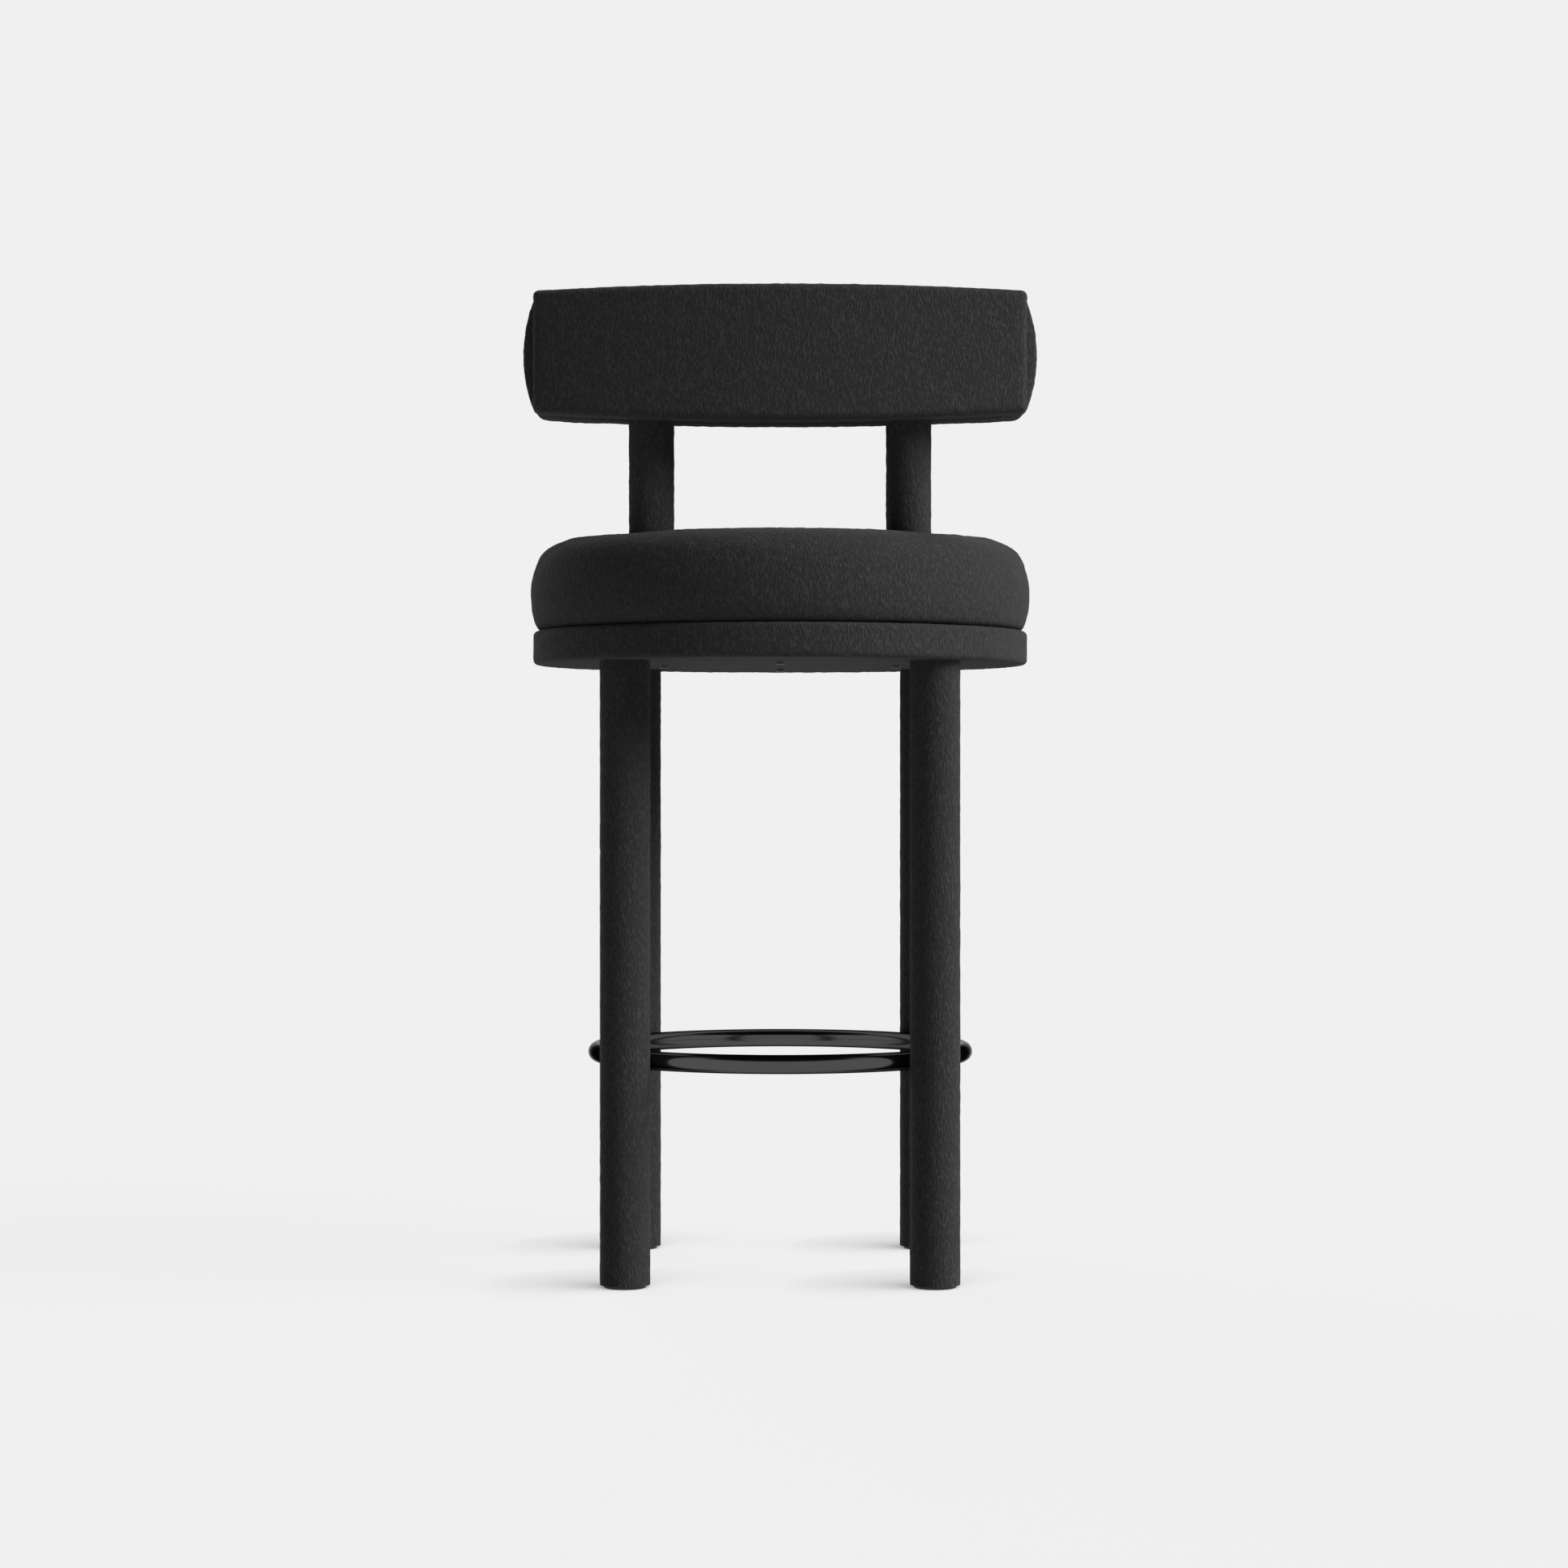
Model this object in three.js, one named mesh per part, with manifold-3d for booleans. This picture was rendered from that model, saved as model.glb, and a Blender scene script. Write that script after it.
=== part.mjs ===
// Bar stool: a round padded seat on four fabric-covered legs, a ring footrest let into
// the legs, and a curved padded back on two posts that stand in the seat.
// Millimetres, +Z up. The origin is on the floor under the middle of the seat.
// The sitter faces -Y, so the back is on the +Y side and the sitter's left is +X.
import * as THREE from "three";
import { mergeVertices } from "three/addons/utils/BufferGeometryUtils.js";
import Module from "manifold-3d";

const wasm = await Module();
wasm.setup();

// ---------------------------------------------------------------- driving dimensions

const GAP = 0.3; // kept between pieces that meet on a curved or a cut face
const FABRIC = 2.5; // boucle with its backing
const STAPLE_STRIP = 20; // width of fabric turned in over a board and stapled
const PLYWOOD = 29; // board of the seat base and of the back

// Legs
const LEG_D = 50; // over the fabric
const LEG_H = 623; // floor to the underside of the seat base
const LEG_INSET = 37.21; // from the rim of the seat base in to the leg's axis
const GLIDE_REVEAL = 4; // from the outside of the leg in to the glide's rim
const GLIDE_H = 3;
const GLIDE_CHAMFER = 1;
const GLIDE_STEM_D = 8;
const GLIDE_STEM_H = 18;

// Leg bolt, from the top of the base board into an insert in the leg
const LEG_BOLT_SIZE = { d: 10, headD: 16, headH: 6 };
const LEG_BOLT_SINK = 8; // depth of the counterbore in the base board
const LEG_BOLT_REACH = 21.5; // below the top of the leg
const INSERT_D = 14;
const INSERT_H = 25;

// Footrest ring
const RING_TUBE_D = 19;
const RING_BITE = 5.71; // depth of the tube's outer face in the leg
const RING_WALL = 1.5;
const RING_Z = 224;
const RING_BOLT_SIZE = { d: 6, headD: 10, headH: 6 };
const RING_BOLT_SINK = 8; // depth of the counterbore in the leg, under the fabric
const RING_BOLT_REACH = 11.5; // into the rivet nut
const RIVET_NUT_D = 8.8;
const RIVET_NUT_LENGTH = 14; // below the outer face of the tube
const RIVET_RIM_D = 12;
const RIVET_RIM_T = 1;
const RIVET_COLLAR_D = 10.8; // the bulge that grips the tube from inside
const RIVET_COLLAR_SET = 4.6;
const RIVET_COLLAR_LENGTH = 3;

// Seat base
const BASE_R = 255;
const BASE_EDGE_R = 5;

// Seat cushion
const CUSHION_OVERHANG = 4; // widest, past the rim of the base
const CUSHION_SEAM_INSET = 7; // from the rim of the base in to the seam
const CUSHION_TURN = 34; // from the widest in to where the top starts to turn down
const CUSHION_H = 93; // seam to the edge of the top
const CUSHION_WIDEST = 37; // above the seam
const CUSHION_CROWN = 5; // middle of the top over its edge
const SHOULDER = 28; // length of the curve's handles at the shoulder
const SHOULDER_DIP = 1; // fall of the upper handle
const CUSHION_BOARD_INSET = 14; // from the seam in to the board's rim
const CUSHION_BOARD_T = 12;
const CUSHION_SCREW_SIZE = { d: 5, headD: 9.5, headH: 3 };
const CUSHION_SCREW_REACH = 9.5; // into the cushion's board
const CUSHION_SCREW_RING = 120; // from the middle of the seat
const CUSHION_SCREWS = 4;

// Back
const BACK_W = 490; // board, over its fabric
const BACK_H = 134; // at the middle
const BACK_RISE = 200; // top of the seat base to the lower edge at the middle
const BACK_INSET = 49; // from the rim of the seat base in to the rear face at the middle
const BACK_BEND_R = 750; // rear face, seen from above
const BACK_BOW = 12; // rise of the lower edge from the middle to the ends
const BACK_CROWN = 1.6; // fall of the upper edge from the middle to the ends
const BACK_EDGE_R = 6;
const BACK_PAD_T = 72; // cushion in front of the board
const BACK_PAD_OVERHANG = 13; // past the board at each end
const BACK_PAD_EDGE_R = 14;

// Posts
const POST_D = 45; // over the fabric
const POST_SLACK = 1; // between the tube and the inside of its sleeve
const POST_TUBE_WALL = 2;
const POST_X = 128;
const POST_SHORT = 31; // from the top of the back down to the top of the tube
const FLANGE_RIM = 15; // past the tube, all round
const FLANGE_SCREW_SIZE = { d: 4.5, headD: 8, headH: 2.6 };
const FLANGE_SCREWS = 3;
const FLANGE_SCREW_SET = 8; // from the outside of the tube to the screw's axis
const FLANGE_SCREW_LEFT = 6.1; // board left under the screw's point
const BACK_SCREW_SIZE = { d: 5, headD: 9, headH: 3 };
const BACK_SCREW_REACH = 20; // into the board of the back
const BACK_SCREW_RISES = [33, 83]; // above the lower edge of the back at the middle

// Facets on round pieces
const ROUND_LARGE = 32;
const ROUND_MEDIUM = 20;
const ROUND_SMALL = 8;
const TUBE_SECTION = 8;
const BASE_EDGE_STEPS = 1;
const CUSHION_STEPS = 2;
const BACK_STEPS = [8, 1, 2]; // across, through and up
const SAME_PLACE = 1e-4; // corners closer than this are one

// ---------------------------------------------------------------- derived places

const SLEEVE_CLEARANCE = 2 * GAP;
const LEG_CORE_D = LEG_D - 2 * FABRIC - SLEEVE_CLEARANCE;
const LEG_RING = BASE_R - LEG_INSET; // from the middle of the seat
const GLIDE_D = LEG_D - 2 * GLIDE_REVEAL;
const RING_R = LEG_RING - LEG_D / 2 + RING_BITE - RING_TUBE_D / 2; // to the middle of the tube
const BASE_T = PLYWOOD + 2 * FABRIC;
const BASE_BOARD_BOTTOM = LEG_H + FABRIC;
const BASE_BOARD_TOP = BASE_BOARD_BOTTOM + PLYWOOD;
const BASE_TOP = LEG_H + BASE_T;
const CUSHION_BOARD_BOTTOM = BASE_TOP + FABRIC;
const CUSHION_BOARD_TOP = CUSHION_BOARD_BOTTOM + CUSHION_BOARD_T;
const CUSHION_R = BASE_R + CUSHION_OVERHANG;
const CUSHION_SEAM_R = BASE_R - CUSHION_SEAM_INSET;
const CUSHION_FLAT_R = CUSHION_R - CUSHION_TURN;
const CUSHION_BOARD_R = CUSHION_SEAM_R - CUSHION_BOARD_INSET;
const FLANGE_T = CUSHION_BOARD_BOTTOM - BASE_BOARD_TOP; // fills the space between the boards
const BACK_BOTTOM = BASE_TOP + BACK_RISE;
const BACK_TOP = BACK_BOTTOM + BACK_H;
const BACK_PAD_W = BACK_W + 2 * BACK_PAD_OVERHANG;
const BACK_AXIS_Y = BASE_R - BACK_INSET - BACK_BEND_R;
const BACK_BOARD_FRONT_R = BACK_BEND_R - FABRIC - PLYWOOD;
const BACK_SEAM_R = BACK_BOARD_FRONT_R - FABRIC;
const POST_TUBE_D = POST_D - 2 * FABRIC - 2 * POST_SLACK;
const POST_TOP = BACK_TOP - POST_SHORT;
const POST_BEND_R = BACK_BOARD_FRONT_R - POST_TUBE_D / 2; // the tube bears on the board
const POST_ANGLE = Math.asin(POST_X / POST_BEND_R);
const POST_Y = BACK_AXIS_Y + POST_BEND_R * Math.cos(POST_ANGLE);
const POST_SLEEVE_BORE = POST_D - 2 * FABRIC;
const FLANGE_D = POST_TUBE_D + 2 * FLANGE_RIM;
const FLANGE_SCREW_RING = POST_TUBE_D / 2 + FLANGE_SCREW_SET; // from the middle of the post
const FLANGE_SCREW_SEAT = BASE_BOARD_TOP + FLANGE_T - FLANGE_SCREW_SIZE.headH - GAP;
const FLANGE_SCREW_POINT = BASE_BOARD_BOTTOM + FLANGE_SCREW_LEFT;
const RING_BOLT_SEAT = LEG_CORE_D / 2 - RING_BOLT_SINK; // from the leg's axis
const RIVET_NUT_X = RING_R + RING_TUBE_D / 2 - LEG_RING; // from the leg's axis
const BACK_SCREW_HEIGHTS = BACK_SCREW_RISES.map((rise) => BACK_BOTTOM + rise);

// Fasteners, each as long as what it goes through and its reach
const LEG_BOLT = {
  ...LEG_BOLT_SIZE,
  length: BASE_BOARD_TOP - LEG_BOLT_SINK - LEG_H + LEG_BOLT_REACH,
};
const RING_BOLT = {
  ...RING_BOLT_SIZE,
  length: RING_BOLT_SEAT - RIVET_NUT_X + RING_BOLT_REACH,
};
const CUSHION_SCREW = {
  ...CUSHION_SCREW_SIZE,
  length: CUSHION_BOARD_BOTTOM - LEG_H + CUSHION_SCREW_REACH,
};
const FLANGE_SCREW = { ...FLANGE_SCREW_SIZE, length: FLANGE_SCREW_SEAT - FLANGE_SCREW_POINT };
const BACK_SCREW = { ...BACK_SCREW_SIZE, length: POST_TUBE_D + BACK_SCREW_REACH };

// ---------------------------------------------------------------- finishes

const BOUCLE = { color: 0x2c2d2f, roughness: 0.95, metalness: 0 };
const BEECH = { color: 0xc9a57a, roughness: 0.6, metalness: 0 };
const BIRCH_PLY = { color: 0xd2b48a, roughness: 0.65, metalness: 0 };
const FOAM = { color: 0xe9dfb8, roughness: 0.9, metalness: 0 };
const NYLON = { color: 0x1b1b1d, roughness: 0.5, metalness: 0 };
const BLACK_STEEL = { color: 0x2b2b2d, roughness: 0.4, metalness: 0.5 };
const BLACK_NICKEL = { color: 0x525252, roughness: 0.18, metalness: 1 };
const ZINC_STEEL = { color: 0xb9bcc0, roughness: 0.35, metalness: 1 };

// ---------------------------------------------------------------- helpers

// A closed geometry as a solid that can be joined and cut.
function solid(geometry) {
  geometry.deleteAttribute("normal");
  geometry.deleteAttribute("uv");
  const merged = mergeVertices(geometry, SAME_PLACE);
  const corners = merged.index.array;
  const kept = [];
  for (let i = 0; i < corners.length; i += 3) {
    const [a, b, c] = corners.slice(i, i + 3);
    if (a !== b && b !== c && c !== a) kept.push(a, b, c);
  }
  return new wasm.Manifold(
    new wasm.Mesh({
      numProp: 3,
      vertProperties: merged.attributes.position.array,
      triVerts: new Uint32Array(kept),
    }),
  );
}

// The surface of a solid.
function surface(body) {
  const { vertProperties, triVerts } = body.getMesh();
  const geometry = new THREE.BufferGeometry();
  geometry.setAttribute("position", new THREE.BufferAttribute(vertProperties, 3));
  geometry.setIndex(new THREE.BufferAttribute(triVerts, 1));
  return geometry;
}

// A named mesh of a solid, with a material of its own.
function piece(name, body, finish) {
  const geometry = surface(body);
  geometry.computeVertexNormals();
  const mesh = new THREE.Mesh(geometry, new THREE.MeshStandardMaterial(finish));
  mesh.name = name;
  return mesh;
}

// A shape turned about Z. The profile is [radius, height] points, anticlockwise.
function turned(profile, sides) {
  const points = profile.map(([radius, height]) => new THREE.Vector2(radius, height));
  return new THREE.LatheGeometry(points, sides).rotateX(Math.PI / 2);
}

function rod(diameter, low, high, sides) {
  const r = diameter / 2;
  return turned([[0, low], [r, low], [r, high], [0, high]], sides);
}

function tube(diameter, bore, low, high, sides) {
  const outer = diameter / 2;
  const inner = bore / 2;
  const start = [outer, low];
  return turned([start, [outer, high], [inner, high], [inner, low], start], sides);
}

// A ring of round bar about Z, centred on the footrest's height.
function ringBar(diameter) {
  const profile = [];
  for (let i = 0; i <= TUBE_SECTION; i++) {
    const turn = (i % TUBE_SECTION) * ((2 * Math.PI) / TUBE_SECTION);
    const radius = RING_R + (diameter / 2) * Math.cos(turn);
    profile.push([radius, RING_Z + (diameter / 2) * Math.sin(turn)]);
  }
  return turned(profile, ROUND_LARGE);
}

// A bolt or a screw that points down, with the underside of its head at the origin.
function screw({ d, length, headD, headH }) {
  const socket = d / 2 - GAP;
  const floor = headH / 2;
  const profile = [
    [0, -length],
    [d / 2, -length],
    [d / 2, 0],
    [headD / 2, 0],
    [headD / 2, headH],
    [socket, headH],
    [socket, floor],
    [0, floor],
  ];
  return solid(turned(profile, ROUND_SMALL));
}

// The clearance hole for a screw that points down from the origin, open above its head.
function screwHole({ d, length, headD, headH }) {
  const shank = rod(d + 2 * GAP, -length - GAP, 0, ROUND_SMALL);
  const head = rod(headD + 2 * GAP, -GAP, headH + GAP, ROUND_SMALL);
  return [shank, head];
}

function cutAll(body, cutters) {
  return cutters.reduce((left, cutter) => left.subtract(solid(cutter)), body);
}

// Even turns about the middle of the seat or of a post.
function spread(count, start) {
  return Array.from({ length: count }, (_, i) => start + (i * 2 * Math.PI) / count);
}

const LEGS = [
  { name: "rear_left", turn: Math.PI / 4 },
  { name: "rear_right", turn: (3 * Math.PI) / 4 },
  { name: "front_right", turn: (5 * Math.PI) / 4 },
  { name: "front_left", turn: (7 * Math.PI) / 4 },
];
const POSTS = [
  { name: "left", side: 1 },
  { name: "right", side: -1 },
];

// A copy of the shape at each post, turned as the post is.
function atPosts(make) {
  return POSTS.map(({ side }) =>
    make().rotateZ(-side * POST_ANGLE).translate(side * POST_X, POST_Y, 0),
  );
}

// ---------------------------------------------------------------- legs

// Each leg is made upright on Z, with the middle of the seat in its -X direction.
function legSleeve(notch) {
  const bore = LEG_D - 2 * FABRIC;
  return solid(tube(LEG_D, bore, GLIDE_H, LEG_H, ROUND_MEDIUM)).subtract(notch);
}

function legCore(notch) {
  const core = solid(rod(LEG_CORE_D, GLIDE_H, LEG_H, ROUND_MEDIUM));
  const [shank, head] = ringBoltHole();
  const insertHole = rod(INSERT_D + 2 * GAP, LEG_H - INSERT_H - GAP, LEG_H + GAP, ROUND_SMALL);
  const stemTop = GLIDE_H + GLIDE_STEM_H + GAP;
  const stemHole = rod(GLIDE_STEM_D + 2 * GAP, 0, stemTop, ROUND_MEDIUM);
  const rimHole = rod(RIVET_RIM_D + 2 * GAP, -RING_TUBE_D / 2, RIVET_RIM_T + GAP, ROUND_SMALL)
    .rotateY(Math.PI / 2)
    .translate(RIVET_NUT_X, 0, RING_Z);
  return cutAll(core.subtract(notch), [shank, head, insertHole, stemHole, rimHole]);
}

function legGlide() {
  const pad = GLIDE_D / 2;
  const face = pad - GLIDE_CHAMFER;
  const stem = GLIDE_STEM_D / 2;
  const top = GLIDE_H + GLIDE_STEM_H;
  return solid(
    turned(
      [
        [0, 0],
        [face, 0],
        [pad, GLIDE_CHAMFER],
        [pad, GLIDE_H],
        [stem, GLIDE_H],
        [stem, top],
        [0, top],
      ],
      ROUND_MEDIUM,
    ),
  );
}

function legInsert() {
  const bore = LEG_BOLT.d + 2 * GAP;
  return solid(tube(INSERT_D, bore, LEG_H - INSERT_H, LEG_H, ROUND_SMALL));
}

function ringBoltHole() {
  const sunk = { ...RING_BOLT, headH: RING_BOLT_SINK + GAP };
  return screwHole(sunk).map((hole) =>
    hole.rotateY(Math.PI / 2).translate(RING_BOLT_SEAT, 0, RING_Z),
  );
}

// The rivet nut lies along Z with the outer face of the footrest tube at the origin.
function rivetNut() {
  const body = RIVET_NUT_D / 2;
  const bore = RING_BOLT.d / 2 + GAP;
  const collar = RIVET_COLLAR_D / 2;
  const collarTop = -RIVET_COLLAR_SET;
  const collarLow = collarTop - RIVET_COLLAR_LENGTH;
  const rim = RIVET_RIM_D / 2;
  const start = [body, -RIVET_NUT_LENGTH];
  const profile = [
    start,
    [body, collarLow],
    [collar, collarLow],
    [collar, collarTop],
    [body, collarTop],
    [body, 0],
    [rim, 0],
    [rim, RIVET_RIM_T],
    [bore, RIVET_RIM_T],
    [bore, -RIVET_NUT_LENGTH],
    start,
  ];
  return solid(turned(profile, ROUND_SMALL));
}

function leg({ name, turn }) {
  const group = new THREE.Group();
  const notch = solid(ringBar(RING_TUBE_D + 2 * GAP).translate(-LEG_RING, 0, 0));
  const bolt = piece("leg_bolt_" + name, screw(LEG_BOLT), ZINC_STEEL);
  bolt.position.z = BASE_BOARD_TOP - LEG_BOLT_SINK;
  const ringBolt = piece("ring_bolt_" + name, screw(RING_BOLT), ZINC_STEEL);
  ringBolt.position.set(RING_BOLT_SEAT, 0, RING_Z);
  ringBolt.rotation.y = Math.PI / 2;
  const nut = piece("ring_rivet_nut_" + name, rivetNut(), ZINC_STEEL);
  nut.position.set(RIVET_NUT_X, 0, RING_Z);
  nut.rotation.y = Math.PI / 2;
  group.add(
    piece("leg_core_" + name, legCore(notch), BEECH),
    piece("leg_sleeve_" + name, legSleeve(notch), BOUCLE),
    piece("leg_glide_" + name, legGlide(), NYLON),
    piece("leg_insert_" + name, legInsert(), ZINC_STEEL),
    bolt,
    ringBolt,
    nut,
  );
  group.rotation.z = turn;
  group.position.set(LEG_RING * Math.cos(turn), LEG_RING * Math.sin(turn), 0);
  return group;
}

// ---------------------------------------------------------------- footrest

function footrestRing() {
  const outer = solid(ringBar(RING_TUBE_D));
  const hollow = outer.subtract(solid(ringBar(RING_TUBE_D - 2 * RING_WALL)));
  const hole = () => rod(RIVET_NUT_D + 2 * GAP, 0, RING_TUBE_D / 2 + GAP, ROUND_SMALL);
  const holes = LEGS.map(({ turn }) =>
    hole().rotateY(Math.PI / 2).translate(RING_R, 0, RING_Z).rotateZ(turn),
  );
  return cutAll(hollow, holes);
}

// ---------------------------------------------------------------- seat base

// Straight holes through the base for the four cushion screws.
function cushionScrewPlaces() {
  return spread(CUSHION_SCREWS, 0).map((turn) => [
    CUSHION_SCREW_RING * Math.cos(turn),
    CUSHION_SCREW_RING * Math.sin(turn),
  ]);
}

function legPlaces() {
  return LEGS.map(({ turn }) => [LEG_RING * Math.cos(turn), LEG_RING * Math.sin(turn)]);
}

function throughHoles(places, diameter) {
  const hole = () => rod(diameter + 2 * GAP, LEG_H - GAP, BASE_TOP + GAP, ROUND_SMALL);
  return places.map(([x, y]) => hole().translate(x, y, 0));
}

// The fabric goes under the board, round its edge and in over its rim.
function seatBaseCover() {
  const bottom = LEG_H;
  const inner = BASE_R - FABRIC;
  const innerEdge = BASE_EDGE_R - FABRIC;
  const rim = BASE_R - STAPLE_STRIP;
  const edge = new THREE.Path();
  edge.moveTo(0, bottom);
  edge.lineTo(BASE_R - BASE_EDGE_R, bottom);
  edge.absarc(BASE_R - BASE_EDGE_R, bottom + BASE_EDGE_R, BASE_EDGE_R, -Math.PI / 2, 0);
  edge.absarc(BASE_R - BASE_EDGE_R, BASE_TOP - BASE_EDGE_R, BASE_EDGE_R, 0, Math.PI / 2);
  edge.lineTo(rim, BASE_TOP);
  edge.lineTo(rim, BASE_BOARD_TOP);
  edge.lineTo(inner - innerEdge, BASE_BOARD_TOP);
  edge.lineTo(inner, BASE_BOARD_TOP - innerEdge);
  edge.lineTo(inner, BASE_BOARD_BOTTOM + innerEdge);
  edge.lineTo(inner - innerEdge, BASE_BOARD_BOTTOM);
  edge.lineTo(0, BASE_BOARD_BOTTOM);
  const profile = edge.getPoints(BASE_EDGE_STEPS).map((p) => [p.x, p.y]);
  const body = solid(turned(profile, ROUND_LARGE));
  return cutAll(body, [
    ...throughHoles(legPlaces(), LEG_BOLT.d),
    ...throughHoles(cushionScrewPlaces(), CUSHION_SCREW.d),
    ...flangeSpaces(),
  ]);
}

function seatBaseBoard() {
  const radius = BASE_R - FABRIC - GAP;
  const edge = BASE_EDGE_R - FABRIC;
  const profile = [
    [0, BASE_BOARD_BOTTOM],
    [radius - edge, BASE_BOARD_BOTTOM],
    [radius, BASE_BOARD_BOTTOM + edge],
    [radius, BASE_BOARD_TOP - edge],
    [radius - edge, BASE_BOARD_TOP],
    [0, BASE_BOARD_TOP],
  ];
  const sinks = legPlaces().map(([x, y]) =>
    rod(LEG_BOLT.headD + 2 * GAP, BASE_BOARD_TOP - LEG_BOLT_SINK, BASE_TOP, ROUND_SMALL)
      .translate(x, y, 0),
  );
  const pilots = flangeScrewPlaces().flatMap(([x, y]) =>
    atPosts(() =>
      rod(FLANGE_SCREW.d + 2 * GAP, FLANGE_SCREW_POINT - GAP, BASE_TOP, ROUND_SMALL)
        .translate(x, y, 0),
    ),
  );
  return cutAll(solid(turned(profile, ROUND_LARGE)), [
    ...throughHoles(legPlaces(), LEG_BOLT.d),
    ...throughHoles(cushionScrewPlaces(), CUSHION_SCREW.d),
    ...sinks,
    ...pilots,
  ]);
}

// ---------------------------------------------------------------- seat cushion

// The outside of the cushion from its seam to the middle of its top, drawn in by inset.
function cushionOutline(inset) {
  const top = BASE_TOP + CUSHION_H - inset;
  const wide = CUSHION_R - inset;
  const flat = CUSHION_FLAT_R - inset;
  const widest = BASE_TOP + CUSHION_WIDEST;
  const line = new THREE.Path();
  line.moveTo(CUSHION_SEAM_R - inset, BASE_TOP + inset);
  line.quadraticCurveTo(wide, BASE_TOP + inset + BASE_EDGE_R, wide, widest);
  line.bezierCurveTo(wide, widest + SHOULDER, flat + SHOULDER, top - SHOULDER_DIP, flat, top);
  line.quadraticCurveTo(flat / 2, top + CUSHION_CROWN, 0, top + CUSHION_CROWN);
  return line.getPoints(CUSHION_STEPS).map((p) => [p.x, p.y]);
}

// Holes up through the cushion for the posts, which are the given diameter.
function postHoles(diameter, low, high) {
  return atPosts(() => rod(diameter + 2 * GAP, low, high, ROUND_MEDIUM));
}

// Space between the two boards for the feet of the posts, cut where fabric is turned in.
function flangeSpaces() {
  return postHoles(FLANGE_D, BASE_BOARD_TOP, CUSHION_BOARD_BOTTOM);
}

function seatCushionCover() {
  const outside = cushionOutline(0);
  const inside = cushionOutline(FABRIC).reverse();
  const rim = CUSHION_SEAM_R - STAPLE_STRIP;
  const start = [rim, BASE_TOP];
  const under = [rim, CUSHION_BOARD_BOTTOM];
  const shell = solid(turned([start, ...outside, ...inside, under, start], ROUND_LARGE));
  return cutAll(shell, [...postHoles(POST_D, BASE_TOP - GAP, BACK_BOTTOM), ...flangeSpaces()]);
}

function seatCushionFoam() {
  const boardR = CUSHION_BOARD_R + GAP;
  const boardTop = CUSHION_BOARD_TOP;
  const profile = [
    [0, boardTop],
    [boardR, boardTop],
    [boardR, CUSHION_BOARD_BOTTOM + GAP],
    ...cushionOutline(FABRIC + GAP),
  ];
  return cutAll(solid(turned(profile, ROUND_LARGE)), postHoles(POST_D, BASE_TOP, BACK_BOTTOM));
}

function seatCushionBoard() {
  const board = solid(
    rod(2 * CUSHION_BOARD_R, CUSHION_BOARD_BOTTOM, CUSHION_BOARD_TOP, ROUND_LARGE),
  );
  const screwTop = LEG_H + CUSHION_SCREW.length + GAP;
  const pilots = cushionScrewPlaces().map(([x, y]) =>
    rod(CUSHION_SCREW.d + 2 * GAP, LEG_H, screwTop, ROUND_SMALL).translate(x, y, 0),
  );
  return cutAll(board, [...pilots, ...postHoles(POST_D, BASE_TOP, CUSHION_BOARD_TOP + GAP)]);
}

function cushionScrews() {
  return cushionScrewPlaces().map(([x, y], i) => {
    const mesh = piece("cushion_screw_" + (i + 1), screw(CUSHION_SCREW), BLACK_STEEL);
    mesh.position.set(x, y, LEG_H);
    mesh.rotation.x = Math.PI;
    return mesh;
  });
}

// ---------------------------------------------------------------- back

// A block with rounded edges, centred on the origin. Each side has the given steps.
function roundedBlock(size, corner, steps) {
  const lines = steps.map((count) => count + 2);
  const geometry = new THREE.BoxGeometry(1, 1, 1, ...lines);
  const places = geometry.attributes.position;
  for (let i = 0; i < places.count; i++) {
    const flat = new THREE.Vector3();
    const out = new THREE.Vector3();
    for (let k = 0; k < 3; k++) {
      const line = Math.round((places.getComponent(i, k) + 0.5) * lines[k]);
      const along = Math.min(Math.max((line - 1) / steps[k], 0), 1) - 0.5;
      flat.setComponent(k, along * (size[k] - 2 * corner));
      out.setComponent(k, line === 0 ? -1 : Number(line === lines[k]));
    }
    out.setLength(corner).add(flat);
    places.setXYZ(i, out.x, out.y, out.z);
  }
  return geometry;
}

// A slab bent about the back's upright axis between two radii. Its lower edge bows down
// in the middle and its upper edge is slightly crowned.
function bentSlab({ width, low, high, outerR, innerR, corner }) {
  const geometry = roundedBlock([width, outerR - innerR, high - low], corner, BACK_STEPS);
  const places = geometry.attributes.position;
  for (let i = 0; i < places.count; i++) {
    const x = places.getX(i);
    const radius = (outerR + innerR) / 2 + places.getY(i);
    const height = (low + high) / 2 + places.getZ(i);
    const out = (2 * x) / BACK_W;
    const up = (height - BACK_BOTTOM) / (BACK_TOP - BACK_BOTTOM);
    const lift = out * out * (BACK_BOW * (1 - up) - BACK_CROWN * up);
    places.setXYZ(i, x, BACK_AXIS_Y + Math.sqrt(radius * radius - x * x), height + lift);
  }
  return solid(geometry);
}

// The board's outside, over its fabric, drawn in by inset.
function boardSlab(inset) {
  return bentSlab({
    width: BACK_W - 2 * inset,
    low: BACK_BOTTOM + inset,
    high: BACK_TOP - inset,
    outerR: BACK_BEND_R - inset,
    innerR: BACK_SEAM_R + inset,
    corner: BACK_EDGE_R - inset,
  });
}

// The back cushion's outside, drawn in by inset.
function padSlab(inset) {
  return bentSlab({
    width: BACK_PAD_W - 2 * inset,
    low: BACK_BOTTOM + inset,
    high: BACK_TOP - inset,
    outerR: BACK_SEAM_R - GAP - inset,
    innerR: BACK_SEAM_R - BACK_PAD_T + inset,
    corner: BACK_PAD_EDGE_R - inset,
  });
}

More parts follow.
